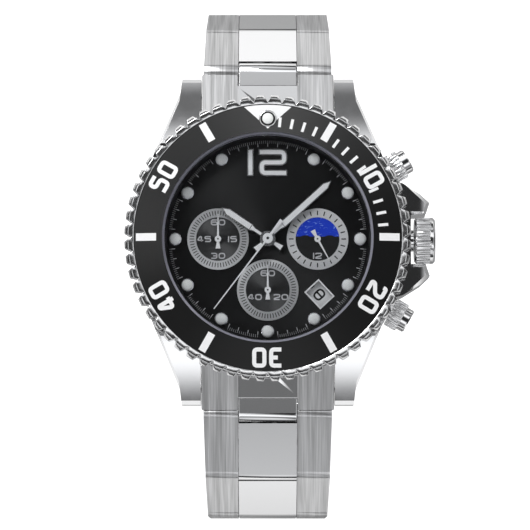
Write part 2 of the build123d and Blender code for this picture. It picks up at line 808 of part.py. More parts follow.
def make_collar(side):
    collar = rod_x(collar_radius, collar_inner_face, collar_outer_face)
    collar = chamfer(collar.edges().filter_by(GeomType.CIRCLE), 0.15)
    flute = rod_x(collar_flute_depth * 1.2, collar_inner_face - 1, collar_outer_face + 1, collar_radius)
    collar -= [Rot(360.0 * i / collar_flutes, 0, 0) * flute for i in range(collar_flutes)]
    collar -= rod_x(pusher_cap_radius + running, collar_inner_face + collar_floor, collar_outer_face + 1)
    collar -= rod_x(pusher_tube_radius + running, 0, collar_outer_face)
    return along_pusher(side, collar)


def make_pusher_tube(side):
    tube = rod_x(pusher_tube_radius, movement_bore + 0.1, pusher_tube_end)
    tube -= rod_x(pusher_shaft_radius + running, 0, pusher_tube_end + 1)
    seat_radius = pusher_tube_radius - spring_tube_wall
    tube -= rod_x(seat_radius, pusher_tube_end - spring_seat_depth, pusher_tube_end + 1)
    return along_pusher(side, tube)


def make_pusher_spring(side):
    radius = pusher_shaft_radius + running + spring_wire + 0.04
    low = pusher_tube_end - spring_seat_depth + spring_wire
    pitch = spring_wire * 2.6
    path = Helix(pitch, pitch * spring_turns, radius)
    wire = sweep(Plane(path @ 0, z_dir=path % 0) * Circle(spring_wire), path=path)
    return along_pusher(side, Pos(low, 0, 0) * Rot(0, 90, 0) * wire)


write("pusher_2", make_pusher(1))
write("pusher_4", make_pusher(-1))
write("pusher_collar_2", make_collar(1))
write("pusher_collar_4", make_collar(-1))
write("case_tubes", [make_crown_tube(), make_pusher_tube(1), make_pusher_tube(-1)])
write("pusher_springs", [make_pusher_spring(1), make_pusher_spring(-1)])


# ---- bracelet. A link is drawn along +Y from its own pivot, with its outside upwards.
# Its two outer pieces start as barrels on that pivot and its centre piece ends as a barrel on
# the next one, so the rows are staggered. A hinge pin joins each centre piece to the outer
# pieces of the next link, and a fixed pin holds the three pieces of one link together.
def follow(slopes):
    """Pivots of a run of links as (reach, height), starting at the end link."""
    pivots = [(first_pivot_reach, first_pivot_height)]
    for slope in slopes:
        reach, height = pivots[-1]
        turn = math.radians(slope)
        pivots.append((reach + link_pitch * math.cos(turn), height - link_pitch * math.sin(turn)))
    return pivots


pivots_6 = follow(slopes_6)
pivots_12 = follow(slopes_12)
r = link_half_thickness
centre_half = centre_width / 2
outer_start = centre_half + side_gap


def half_width(links, along):
    """Half the bracelet's width at a place, where `links` is how many links the side has."""
    share = along / (links * link_pitch)
    return (start_width + (end_width - start_width) * min(max(share, 0), 1)) / 2


def link_outer(index, links):
    near = half_width(links, index * link_pitch)
    far = half_width(links, (index + 1) * link_pitch)
    slab = across([(0, -r), (link_pitch, -r), (link_pitch, r), (0, r)], outer_start, near + 1)
    body = slab + rod_x(r, outer_start, near + 1)
    body -= rod_x(r + link_gap, 0, near + 2, link_pitch)
    plan = plate([(0, -r - 1), (near, -r - 1), (near, 0), (far, link_pitch), (0, link_pitch)], -r - 1, r + 1)
    body &= plan
    body -= rod_x(link_pin_radius, 0, near + 2)
    return body - rod_x(link_pin_radius, 0, near + 2, link_pitch / 2)


def link_centre(gap):
    slab = across([(0, -r), (link_pitch, -r), (link_pitch, r), (0, r)], -centre_half, centre_half)
    body = slab + rod_x(r, -centre_half, centre_half, link_pitch)
    body -= rod_x(r + gap, -centre_half - 1, centre_half + 1)
    body -= rod_x(link_pin_radius + running, -centre_half - 1, centre_half + 1, link_pitch)
    return body - rod_x(link_pin_radius, -centre_half - 1, centre_half + 1, link_pitch / 2)


def link_pins(index, links):
    at_pivot = half_width(links, index * link_pitch) - pin_recess
    at_middle = half_width(links, (index + 0.5) * link_pitch) - pin_recess
    return [rod_x(link_pin_radius, -at_pivot, at_pivot),
            rod_x(link_pin_radius, -at_middle, at_middle, link_pitch / 2)]


def at_link(shape, pivot, slope, side):
    """Move a link onto its pivot. Side is 12 or 6."""
    reach, height = pivot
    placed = Pos(0, reach, height) * Rot(-slope, 0, 0) * shape
    return placed if side == 12 else Rot(0, 0, 180) * placed


def clasp_bar():
    """The spring bar in the last link, clear of the clasp cover's walls."""
    half = cover_inner_width / 2 - 0.15
    tip = rod_x(spring_bar_tip_radius, -half, half, link_pitch)
    return tip + rod_x(link_pin_radius, -half + 1, half - 1, link_pitch)


for side, slopes, pivots in ((12, slopes_12, pivots_12), (6, slopes_6, pivots_6)):
    for index, slope in enumerate(slopes):
        pieces = both_sides(link_outer(index, len(slopes)))
        pieces.append(link_centre(link_gap if index else first_gap))
        pieces += link_pins(index, len(slopes))
        if side == 12 and index == len(slopes) - 1:
            pieces.append(clasp_bar())
        placed = [at_link(piece, pivots[index], slope, side) for piece in pieces]
        write("link_" + str(side) + "_" + str(index + 1), placed)


# ---- end links: each fills the space between two lugs and carries the first centre piece
def make_end_link():
    near = first_pivot_reach
    low = first_pivot_height - r
    high = first_pivot_height + r
    half = end_link_width / 2
    crest = case_radius - end_link_crest_in
    body = across([(lug_crest, low), (near, low), (near, high), (crest, end_link_crest),
                   (lug_crest, end_link_crest)], -half, half)
    body -= upright(case_radius + 0.05, -1, 20)
    body -= rod_x(r + first_gap, -half - 1, half + 1, near, first_pivot_height)
    slot_half = centre_half + side_gap
    body -= across([(tongue_start - 0.1, low - 1), (near, low - 1), (near, tongue_top + 0.1),
                    (tongue_start - 0.1, tongue_top + 0.1)], -slot_half, slot_half)
    body -= across([(tongue_face, low - 1), (near, low - 1), (near, high + 5), (tongue_face, high + 5)],
                   -slot_half, slot_half)
    return body - rod_x(spring_bar_radius, -half - 1, half + 1, spring_bar_reach, spring_bar_height)


def make_end_centre():
    near = first_pivot_reach
    low = first_pivot_height - r
    high = first_pivot_height + r
    drop = (end_link_crest - high) / (near - case_radius + end_link_crest_in)
    face_top = high + drop * (near - tongue_face) - 0.1
    tongue = across([(tongue_start, low), (near, low), (near, high), (tongue_face + 0.05, face_top),
                     (tongue_face + 0.05, tongue_top), (tongue_start, tongue_top)], -centre_half, centre_half)
    body = tongue + rod_x(r, -centre_half, centre_half, near, first_pivot_height)
    body -= rod_x(link_pin_radius + running, -centre_half - 1, centre_half + 1, near, first_pivot_height)
    return body - rod_x(spring_bar_radius, -centre_half - 1, centre_half + 1, spring_bar_reach,
                        spring_bar_height)


def make_lug_bar():
    tip_end = lug_gap / 2 + spring_bar_tip
    half = end_link_width / 2
    tube = rod_x(spring_bar_radius, -half + 0.2, half - 0.2, spring_bar_reach, spring_bar_height)
    return tube + rod_x(spring_bar_tip_radius, -tip_end, tip_end, spring_bar_reach, spring_bar_height)


def to_6(shape):
    return Rot(0, 0, 180) * shape


write("end_link_12", make_end_link())
write("end_link_6", to_6(make_end_link()))
write("end_centres", [make_end_centre(), to_6(make_end_centre())])
write("lug_spring_bars", [make_lug_bar(), to_6(make_lug_bar())])

# ---- folding clasp, drawn about its own centre with its outside towards -Z and 12 o'clock at +Y
bar_y, bar_z = pivots_12[-1]
pin_y = -pivots_6[-1][0]
pin_z = pivots_6[-1][1]
chord = math.hypot(bar_y - pin_y, bar_z - pin_z)
half_angle = math.degrees(math.asin(chord / 2 / clasp_arc))
clasp_tilt = math.degrees(math.atan2(bar_z - pin_z, bar_y - pin_y))
rise = clasp_arc * math.cos(math.radians(half_angle))
clasp_centre_y = (bar_y + pin_y) / 2 - rise * math.sin(math.radians(clasp_tilt))
clasp_centre_z = (bar_z + pin_z) / 2 + rise * math.cos(math.radians(clasp_tilt))
degrees_per_mm = math.degrees(1 / clasp_arc)

fold_angle = half_angle - fold_offset_12 * degrees_per_mm
cover_fold_angle = -half_angle + fold_offset_6 * degrees_per_mm
blade_2_out = -0.45
blade_2_in = blade_2_out - blade_thickness
blade_1_in = blade_2_out + blade_spacing
blade_1_out = blade_1_in + blade_thickness
fold_level = (blade_2_in + blade_1_out) / 2
cover_in = link_half_thickness + cover_lift
cover_out = cover_in + cover_plate
cover_fold_level = cover_in - cover_barrel_radius - 0.05


def on_arc(angle, level):
    """A place on the clasp, as (y, z), at a level outside the arc of the pins."""
    turn = math.radians(angle)
    return (clasp_arc + level) * math.sin(turn), -(clasp_arc + level) * math.cos(turn)


def strip(inner, outer, start, end, left, right):
    """A curved strip between two levels and two angles."""
    middle = (start + end) / 2
    sides = [ThreePointArc((left, *on_arc(start, level)), (left, *on_arc(middle, level)),
                           (left, *on_arc(end, level))) for level in (inner, outer)]
    ends = [Line((left, *on_arc(angle, inner)), (left, *on_arc(angle, outer))) for angle in (start, end)]
    return extrude(make_face(sides + ends), amount=right - left, dir=(1, 0, 0))


def barrel(radius, left, right, angle, level):
    y, z = on_arc(angle, level)
    return rod_x(radius, left, right, y, z)


def on_clasp(shape):
    return Pos(0, clasp_centre_y, clasp_centre_z) * Rot(clasp_tilt, 0, 0) * shape


blade_half = blade_width / 2
knuckle = 3.0
fold_gap = 0.1


def make_cover():
    half = cover_inner_width / 2
    start = -half_angle + 0.4 * degrees_per_mm
    end = half_angle + cover_overlap * degrees_per_mm
    top = strip(cover_in, cover_out, start, end, -half - cover_wall, half + cover_wall)
    walls = [strip(-cover_skirt, cover_in, start, end, half, half + cover_wall),
             strip(-cover_skirt, cover_in, start, end, -half - cover_wall, -half)]
    cover = top + walls
    for i in range(adjust_holes):
        angle = half_angle - i * adjust_pitch * degrees_per_mm
        cover -= barrel(spring_bar_tip_radius + 0.1, -half - 2, half + 2, angle, 0)
    return cover - barrel(fold_pin_radius, -half - 2, half + 2, cover_fold_angle, cover_fold_level)


def make_cover_pin():
    half = cover_inner_width / 2 + cover_wall - 0.1
    return barrel(fold_pin_radius, -half, half, cover_fold_angle, cover_fold_level)


def make_blade_1():
    sheet = strip(blade_1_in, blade_1_out, cover_fold_angle, fold_angle, -blade_half, blade_half)
    near = barrel(cover_barrel_radius, -blade_half, blade_half, cover_fold_angle, cover_fold_level)
    knuckles = [barrel(fold_barrel_radius, knuckle + fold_gap, blade_half, fold_angle, fold_level),
                barrel(fold_barrel_radius, -blade_half, -knuckle - fold_gap, fold_angle, fold_level)]
    blade = sheet + near + knuckles
    blade -= barrel(fold_barrel_radius + fold_gap, -knuckle - fold_gap, knuckle + fold_gap, fold_angle,
                    fold_level)
    blade -= barrel(fold_pin_radius + running, -20, 20, fold_angle, fold_level)
    return blade - barrel(fold_pin_radius + running, -20, 20, cover_fold_angle, cover_fold_level)


def make_blade_2():
    sheet = strip(blade_2_in, blade_2_out, -half_angle, fold_angle, -blade_half, blade_half)
    middle = barrel(fold_barrel_radius, -knuckle, knuckle, fold_angle, fold_level)
    ends = [barrel(r - clasp_end_inset, outer_start, blade_half, -half_angle, 0),
            barrel(r - clasp_end_inset, -blade_half, -outer_start, -half_angle, 0)]
    blade = sheet + middle + ends
    for left, right in ((knuckle, 20), (-20, -knuckle)):
        blade -= barrel(fold_barrel_radius + fold_gap, left, right, fold_angle, fold_level)
    blade -= barrel(r + 0.15, -outer_start, outer_start, -half_angle, 0)
    blade -= barrel(fold_pin_radius, -20, 20, fold_angle, fold_level)
    return blade - barrel(link_pin_radius, -20, 20, -half_angle, 0)


def make_blade_pins():
    return [barrel(fold_pin_radius, -blade_half + 0.1, blade_half - 0.1, fold_angle, fold_level),
            barrel(link_pin_radius, -blade_half + 0.1, blade_half - 0.1, -half_angle, 0)]


def make_catch():
    half = cover_inner_width / 2 - 0.3
    start = -half_angle + (link_half_thickness + catch_gap) * degrees_per_mm
    return strip(blade_2_out, blade_2_out + 0.35, start, start + catch_length * degrees_per_mm, -half, half)


write("clasp_cover", [on_clasp(make_cover()), on_clasp(make_cover_pin())])
write("clasp_blade_outer", on_clasp(make_blade_1()))
write("clasp_blade_inner", [on_clasp(piece) for piece in [make_blade_2()] + make_blade_pins()])
write("clasp_catch", on_clasp(make_catch()))
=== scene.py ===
import math

import bpy
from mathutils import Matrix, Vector


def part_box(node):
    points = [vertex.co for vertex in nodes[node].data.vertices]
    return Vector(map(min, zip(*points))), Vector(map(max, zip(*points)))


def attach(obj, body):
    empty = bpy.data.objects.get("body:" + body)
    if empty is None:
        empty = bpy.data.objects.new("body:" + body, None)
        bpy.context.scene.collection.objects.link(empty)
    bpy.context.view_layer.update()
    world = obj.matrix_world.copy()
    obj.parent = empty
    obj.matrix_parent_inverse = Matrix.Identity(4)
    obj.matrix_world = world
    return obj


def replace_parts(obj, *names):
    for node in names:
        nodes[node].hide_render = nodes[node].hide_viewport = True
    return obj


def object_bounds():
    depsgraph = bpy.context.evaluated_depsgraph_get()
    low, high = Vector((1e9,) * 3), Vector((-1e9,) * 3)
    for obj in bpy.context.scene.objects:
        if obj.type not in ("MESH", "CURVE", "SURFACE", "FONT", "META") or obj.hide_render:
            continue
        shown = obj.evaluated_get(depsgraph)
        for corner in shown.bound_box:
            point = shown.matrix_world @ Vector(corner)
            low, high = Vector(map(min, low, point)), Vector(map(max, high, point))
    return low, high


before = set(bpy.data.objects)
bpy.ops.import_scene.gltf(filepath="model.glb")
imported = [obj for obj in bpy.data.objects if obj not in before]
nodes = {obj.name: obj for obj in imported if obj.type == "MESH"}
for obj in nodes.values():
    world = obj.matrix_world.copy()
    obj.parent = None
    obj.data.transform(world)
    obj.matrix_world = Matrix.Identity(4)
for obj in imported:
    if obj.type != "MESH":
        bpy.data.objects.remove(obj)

# A steel chronograph, dial up: +Y is 12 o'clock and +X the crown. The frame is in metres;
# lengths written in millimetres are multiplied by mm.
mm = 0.001
cad_low, cad_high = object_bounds()


# ---- Case middle, case back, tubes and gaskets.
# The case is milled and turned from one bar of steel and polished all over; the back is turned
# and screws in over a rubber ring, and the three tubes are pressed into their bores.
class Sock:
    """A node's output, which can be added, multiplied and compared like a number."""

    def __init__(self, net, socket):
        self.net = net
        self.socket = socket

    def maths(self, operation, *values):
        return self.net.make("ShaderNodeMath", {"operation": operation}, *values)

    def __add__(self, other):
        return self.maths("ADD", self, other)

    def __sub__(self, other):
        return self.maths("SUBTRACT", self, other)

    def __mul__(self, other):
        return self.maths("MULTIPLY", self, other)

    def __pow__(self, other):
        return self.maths("POWER", self, other)

    def __mod__(self, other):
        return self.maths("MODULO", self, other)

    def __rsub__(self, other):
        return self.maths("SUBTRACT", other, self)

    def __gt__(self, other):
        return self.maths("GREATER_THAN", self, other)

    def __lt__(self, other):
        return self.maths("LESS_THAN", self, other)

    def __abs__(self):
        return self.maths("ABSOLUTE", self)

    __radd__ = __add__
    __rmul__ = __mul__

    def larger(self, other):
        return self.maths("MAXIMUM", self, other)

    def ramp(self, low, high):
        """0 below low, 1 above high, and smooth between."""
        settings = {"interpolation_type": "SMOOTHSTEP"}
        return self.net.make("ShaderNodeMapRange", settings, {"Value": self, "From Min": low, "From Max": high})


class Net:
    """A material's, world's or geometry's tree, with one method that makes any node."""

    def __init__(self, tree):
        self.tree = tree

    def make(self, kind, settings, *values, out=0):
        node = self.tree.nodes.new(kind)
        for name, value in settings.items():
            setattr(node, name, value)
        pairs = []
        for value in values:
            pairs += list(value.items()) if isinstance(value, dict) else [(len(pairs), value)]
        for key, value in pairs:
            if isinstance(value, Sock):
                self.tree.links.new(value.socket, node.inputs[key])
            else:
                node.inputs[key].default_value = value
        return Sock(self, node.outputs[out]) if node.outputs else None

    def place(self):
        """The point being shaded, as its three coordinates in metres."""
        return self.split(self.make("ShaderNodeTexCoord", {}, out="Object"))

    def split(self, vector):
        node = self.make("ShaderNodeSeparateXYZ", {}, vector).socket.node
        return [Sock(self, node.outputs[axis]) for axis in "XYZ"]

    def vector(self, x, y, z):
        return self.make("ShaderNodeCombineXYZ", {}, x, y, z)

    def noise(self, where, scale, detail=3.0):
        return self.make("ShaderNodeTexNoise", {}, {"Vector": where, "Scale": scale, "Detail": detail})

    def blend(self, factor, first, second):
        """A colour between two others."""
        values = {"Factor": factor, 6: first, 7: second}
        return self.make("ShaderNodeMix", {"data_type": "RGBA"}, values, out=2)

    def bump(self, height, strength, distance):
        return self.make("ShaderNodeBump", {}, {"Strength": strength, "Distance": distance, "Height": height})

    def surface(self, **inputs):
        """The material's shader, from the Principled shader's sockets."""
        named = {name.replace("_", " "): value for name, value in inputs.items()}
        return self.make("ShaderNodeBsdfPrincipled", {}, named)

    def show(self, shader):
        self.make("ShaderNodeOutputMaterial", {}, {"Surface": shader})


def new_material(name):
    material = bpy.data.materials.new(name)
    material.use_nodes = True
    material.node_tree.nodes.clear()
    return material, Net(material.node_tree)


def grey(level, blue=0.0):
    return (level, level, level + blue, 1.0)


def give(material, *names):
    for name in names:
        slots = nodes[name].data.materials
        slots.clear()
        slots.append(material)


def polished_steel(name, level=0.82, haze=0.06, crowned=None):
    """Polished steel with fine hairlines and a cloudy haze. `crowned` holds the distances from
    the middle, along Y and along X, where buffing has left the lugs and the guards highest."""
    material, net = new_material(name)
    x, y, z = net.place()
    cloud = net.noise(net.vector(x, y, z), 420.0)
    hairs = net.noise(net.vector(x * 6.0, y * 0.6, z * 6.0), 2600.0)
    normal = net.bump(hairs, 0.05, 0.00001)
    if crowned:
        along = abs(y) - crowned[0]
        beyond = (x - crowned[1]).larger(0.0)
        lugs = (along * along) * -9.0 * (abs(y) > 0.012)
        guards = (beyond * beyond) * -48.0 * (abs(y) < 0.012)
        normal = net.make("ShaderNodeBump", {}, {
            "Strength": 1.0, "Distance": 1.0, "Height": lugs + guards, "Normal": normal})
    net.show(net.surface(
        Base_Color=net.blend(cloud, grey(level * 0.93), grey(level, 0.006)), Metallic=1.0,
        Roughness=haze + 0.05 * cloud.ramp(0.35, 0.8) + 0.03 * hairs, Normal=normal))
    return material


def turned_steel(name, level, rough, sheen=0.7):
    """Steel or silvering turned in fine circles, which spreads light into fans."""
    material, net = new_material(name)
    x, y, z = net.place()
    rings = net.noise(net.vector((x * x + y * y) ** 0.5 * 9000.0, 0.0, 0.0), 1.0, 2.0)
    dust = net.noise(net.vector(x, y, z), 900.0)
    net.show(net.surface(
        Base_Color=net.blend(rings, grey(level * 0.86), grey(level, 0.004)), Metallic=1.0,
        Roughness=rough + 0.08 * rings + 0.03 * dust, Anisotropic=sheen,
        Normal=net.bump(rings, 0.06, 0.00001)))
    return material


def rubber_and_nylon(name, split):
    """Pale nylon round the crystal, above the split height, and black rubber below it."""
    material, net = new_material(name)
    x, y, z = net.place()
    speck = net.noise(net.vector(x, y, z), 2400.0)
    net.show(net.surface(
        Base_Color=net.blend(z > split, grey(0.02), (0.5, 0.5, 0.58, 1.0)), Roughness=0.35 + 0.2 * speck,
        Normal=net.bump(speck, 0.1, 0.00002)))
    return material


def break_edges(width, *names, segments=2):
    """Rounds off a steel part's edges, as a fine file and the tumbler leave them."""
    for name in names:
        weld = nodes[name].modifiers.new("weld", "WELD")
        weld.merge_threshold = 0.002 * mm
        bevel = nodes[name].modifiers.new("edges", "BEVEL")
        bevel.width = width * mm
        bevel.segments = segments
        bevel.limit_method = "ANGLE"
        bevel.angle_limit = math.radians(28)
        bevel.harden_normals = True


case_steel = polished_steel("case_steel", crowned=(19.0 * mm, 20.4 * mm))
plain_steel = polished_steel("plain_steel")
give(case_steel, "case_middle")
give(plain_steel, "case_tubes")
give(turned_steel("back_steel", 0.7, 0.2), "case_back")
give(rubber_and_nylon("gasket_stuff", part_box("crystal")[0][2] - 0.5 * mm), "gaskets")
break_edges(0.16, "case_middle")
break_edges(0.12, "case_back")


# ---- Crystal.
# A flat disc of mineral glass with a ground bevel, pressed into its nylon ring. It takes a
# faint smear of light and otherwise lets everything through.
def mineral_glass(name):
    material, net = new_material(name)
    x, y, z = net.place()
    smear = net.noise(net.vector(x, y, z), 90.0)
    fresnel = net.make("ShaderNodeFresnel", {}, {"IOR": 1.46})
    clear = net.make("ShaderNodeBsdfTransparent", {}, {"Color": (0.98, 0.985, 0.99, 1.0)})
    gloss = net.surface(Base_Color=grey(0.9, 0.05), Metallic=1.0, Roughness=0.015 + 0.03 * smear)
    net.show(net.make("ShaderNodeMixShader", {}, {0: fresnel * 0.6, 1: clear, 2: gloss}))
    return material


give(mineral_glass("crystal_glass"), "crystal")

# ---- Bezel ring and its click spring.
# The ring is turned from steel, notched sixty times round its rim for the fingers and polished;
# it snaps over the neck of the case and turns over a thin stamped spring.
bezel_steel = polished_steel("bezel_steel", 0.8, 0.16)
give(bezel_steel, "bezel_ring")
give(plain_steel, "bezel_click_spring")
break_edges(0.09, "bezel_ring")


# ---- Bezel insert, its figures and its pearl.
# The insert is a coned ring of black ceramic-coated alloy, turned in fine circles, with its
# figures filled in white. The pearl is a drop of luminous paste in a small steel cup.
class Sheet:
    """Closed flat shapes that follow a surface. `lift` turns a place drawn in millimetres into
    a point in space, on the underside (0) or the face (1) of the shape."""

    def __init__(self, lift):
        self.lift = lift
        self.points = []
        self.faces = []

    def wall(self, lower, upper):
        """Side faces between two closed loops of point numbers."""
        for i in range(len(lower)):
            j = (i + 1) % len(lower)
            self.faces.append([lower[i], lower[j], upper[j], upper[i]])

    def add_plate(self, outline):
        """A plate, from an outline drawn anticlockwise."""
        first = len(self.points)
        count = len(outline)
        for level in (0, 1):
            self.points += [self.lift(x, y, level) for x, y in outline]
        self.faces.append([first + i for i in reversed(range(count))])
        self.faces.append([first + count + i for i in range(count)])
        self.wall(list(range(first, first + count)), list(range(first + count, first + 2 * count)))

    def add_patch(self, rows):
        """A plate cut into small squares, so that it can follow a curved surface. Each row of
        places runs from right to left, and the rows run outwards."""
        high, wide = len(rows), len(rows[0])
        first = len(self.points)
        for level in (0, 1):
            self.points += [self.lift(x, y, level) for row in rows for x, y in row]
        size = high * wide
        for i in range(high - 1):
            for j in range(wide - 1):
                square = [first + i * wide + j, first + (i + 1) * wide + j,
                          first + (i + 1) * wide + j + 1, first + i * wide + j + 1]
                self.faces.append(list(reversed(square)))
                self.faces.append([corner + size for corner in square])
        rim = [i * wide for i in range(high)] + [(high - 1) * wide + j for j in range(1, wide)]
        rim += [i * wide + wide - 1 for i in reversed(range(high - 1))] + list(reversed(range(1, wide - 1)))
        self.wall([first + k for k in rim], [first + size + k for k in rim])

    def add_strip(self, line, width, closed=False):
        """A strip of even width along a line, with mitred corners."""
        first = len(self.points)
        sides = strip_sides(line, width / 2, closed)
        for left, right in sides:
            self.points += [self.lift(*left, 0), self.lift(*right, 0), self.lift(*right, 1), self.lift(*left, 1)]
        count = len(sides)
        for i in range(count if closed else count - 1):
            here = first + 4 * i
            there = first + 4 * ((i + 1) % count)
            for a in range(4):
                b = (a + 1) % 4
                self.faces.append([here + b, there + b, there + a, here + a])
        if not closed:
            last = first + 4 * (count - 1)
            self.faces.append([first + 3, first + 2, first + 1, first])
            self.faces.append([last, last + 1, last + 2, last + 3])

    def mesh(self, name):
        mesh = bpy.data.meshes.new(name)
        mesh.from_pydata([[c * mm for c in point] for point in self.points], [], self.faces)
        return mesh


def strip_sides(line, half, closed):
    """The left and right edge of a strip at each point of its line."""
    count = len(line)
    sides = []
    for i in range(count):
        before = line[i - 1] if closed or i else line[i]
        after = line[(i + 1) % count] if closed or i < count - 1 else line[i]
        x, y = line[i]
        ways = []
        for (ax, ay), (bx, by) in ((before, (x, y)), ((x, y), after)):
            length = math.hypot(bx - ax, by - ay)
            if length > 1e-9:
                ways.append((-(by - ay) / length, (bx - ax) / length))
        nx = sum(way[0] for way in ways)
        ny = sum(way[1] for way in ways)
        size = math.hypot(nx, ny)
        nx, ny = nx / size, ny / size
        reach = half / max(nx * ways[0][0] + ny * ways[0][1], 0.35)
        sides.append(((x + nx * reach, y + ny * reach), (x - nx * reach, y - ny * reach)))
    return sides


def round_corners(line, radius, closed=False, steps=4):
    """The line with each corner replaced by a short curve."""
    count = len(line)
    result = []
    for i in range(count):
        if not closed and i in (0, count - 1):
            result.append(line[i])
            continue
        (ax, ay), (bx, by), (cx, cy) = line[i - 1], line[i], line[(i + 1) % count]
        before = math.hypot(ax - bx, ay - by)
        after = math.hypot(cx - bx, cy - by)
        cut = min(radius, before * 0.48, after * 0.48)
        start = (bx + (ax - bx) / before * cut, by + (ay - by) / before * cut)
        end = (bx + (cx - bx) / after * cut, by + (cy - by) / after * cut)
        for step in range(steps + 1):
            t = step / steps
            weights = ((1 - t) ** 2, 2 * t * (1 - t), t ** 2)
            result.append(tuple(weights[0] * start[k] + weights[1] * line[i][k] + weights[2] * end[k]
                                for k in (0, 1)))
    return result


# Figures are drawn in a box one unit wide and high, in strokes; True marks a closed stroke.
figures = {
    "0": [([(0, 0), (1, 0), (1, 1), (0, 1)], True)],
    "1": [([(0, 0), (0, 1)], False)],
    "2": [([(0, 0.8), (0, 1), (1, 1), (1, 0.55), (0, 0.2), (0, 0), (1, 0)], False)],
    "3": [([(0, 1), (1, 1), (1, 0), (0, 0)], False), ([(0.35, 0.5), (1, 0.5)], False)],
    "4": [([(0.75, 0), (0.75, 1), (0.5, 1), (0, 0.25), (1.1, 0.25)], False)],
    "5": [([(1, 1), (0, 1), (0, 0.58), (1, 0.58), (1, 0), (0, 0)], False)],
    "6": [([(1, 1), (0, 1), (0, 0), (1, 0), (1, 0.56), (0, 0.56)], False)],
    "7": [([(0, 1), (1, 1), (0.4, 0)], False)],
    "8": [([(0, 0), (1, 0), (1, 1), (0, 1)], True), ([(0, 0.5), (1, 0.5)], False)],
    "9": [([(0, 0), (1, 0), (1, 1), (0, 1), (0, 0.44), (1, 0.44)], False)],
}


def turned_place(x, y, clockwise):
    angle = math.radians(-clockwise)
    return x * math.cos(angle) - y * math.sin(angle), x * math.sin(angle) + y * math.cos(angle)


def write_figures(sheet, text, x, y, width, height, stroke, gap, turn=0.0, rounding=0.3):
    """A row of figures centred on a place, with its top turned clockwise."""
    widths = [stroke if letter == "1" else width for letter in text]
    left = -(sum(widths) + gap * (len(text) - 1)) / 2
    for letter, wide in zip(text, widths):
        for line, closed in figures[letter]:
            straight = len(line) == 2
            foot = 0.0 if letter == "1" else stroke / 2
            drawn = [(left + stroke / 2 + px * (wide - stroke), -height / 2 + foot + py * (height - 2 * foot))
                     for px, py in line]
            if not straight:
                drawn = round_corners(drawn, rounding * width, closed)
            turned = [turned_place(px, py, turn) for px, py in drawn]
            sheet.add_strip([(x + px, y + py) for px, py in turned], stroke, closed)
        left += wide + gap


def new_piece(name, mesh, material, body):
    if not mesh.materials:
        mesh.materials.append(material)
    piece = bpy.data.objects.new(name, mesh)
    bpy.context.scene.collection.objects.link(piece)
    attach(piece, body)
    return piece


def ring_of(name, mark, count, step, centre, keep, material, body):
    """Copies of a mark drawn at 12 o'clock, every `step` degrees clockwise about a centre.
    `keep` is a formula of the copy's number that says which copies stay."""
    tree = bpy.data.node_groups.new(name + "_ring", "GeometryNodeTree")
    kinds = {"Geometry": "Geometry", "Count": "Int", "Step": "Float", "Centre": "Vector"}
    given = {label: tree.interface.new_socket(label, in_out="INPUT", socket_type="NodeSocket" + kind)
             for label, kind in kinds.items()}
    tree.interface.new_socket("Geometry", in_out="OUTPUT", socket_type="NodeSocketGeometry")
    net = Net(tree)
    start = tree.nodes.new("NodeGroupInput")
    inputs = {socket.name: Sock(net, socket) for socket in start.outputs if socket.name}
    number = net.make("GeometryNodeInputIndex", {})
    points = net.make("GeometryNodeMeshLine", {}, {"Count": inputs["Count"], "Offset": (0.0, 0.0, 0.0)})
    copies = net.make("GeometryNodeInstanceOnPoints", {}, {
        "Points": points, "Selection": keep(number), "Instance": inputs["Geometry"],
        "Rotation": net.vector(0.0, 0.0, 0.0 - number * inputs["Step"])})
    moved = net.make("GeometryNodeTranslateInstances", {}, {
        "Instances": copies, "Translation": inputs["Centre"], "Local Space": False})
    solid = net.make("GeometryNodeRealizeInstances", {}, {"Geometry": moved})
    painted = net.make("GeometryNodeSetMaterial", {}, {"Geometry": solid, "Material": material})
    net.make("NodeGroupOutput", {}, {0: painted})
    source = bpy.data.objects.new(name + "_source", mark)
    bpy.context.scene.collection.objects.link(source)
    modifier = source.modifiers.new("ring", "NODES")
    modifier.node_group = tree
    modifier[given["Count"].identifier] = count
    modifier[given["Step"].identifier] = math.radians(step)
    modifier[given["Centre"].identifier] = [c * mm for c in centre]
    graph = bpy.context.evaluated_depsgraph_get()
    mesh = bpy.data.meshes.new_from_object(source.evaluated_get(graph))
    bpy.data.objects.remove(source)
    mesh.name = name
    return new_piece(name, mesh, material, body)


def bar_mark(name, inner, outer, width, lift):
    """A bar along the radius at 12 o'clock, from one radius to another."""
    sheet = Sheet(lift)
    half = width / 2
    sheet.add_plate([(-half, inner), (half, inner), (half, outer), (-half, outer)])
    return sheet.mesh(name)


def dome_mark(name, radius, height, orbit, base, rings=5, around=24):
    """A low closed dome at 12 o'clock."""
    points = []
    faces = []
    for ring in range(rings):
        lift = ring / rings * math.pi / 2
        wide, high = radius * math.cos(lift), base + height * math.sin(lift)
        points += [(wide * math.cos(2 * math.pi * k / around), orbit + wide * math.sin(2 * math.pi * k / around),
                    high) for k in range(around)]
    points.append((0, orbit, base + height))
    for k in range(around):
        n = (k + 1) % around
        for ring in range(rings - 1):
            here, above = ring * around, (ring + 1) * around
            faces.append([here + k, here + n, above + n, above + k])
        faces.append([(rings - 1) * around + k, (rings - 1) * around + n, len(points) - 1])
    faces.append(list(reversed(range(around))))
    mesh = bpy.data.meshes.new(name)
    mesh.from_pydata([[c * mm for c in point] for point in points], [], faces)
    mesh.polygons.foreach_set("use_smooth", [True] * len(mesh.polygons))
    return mesh


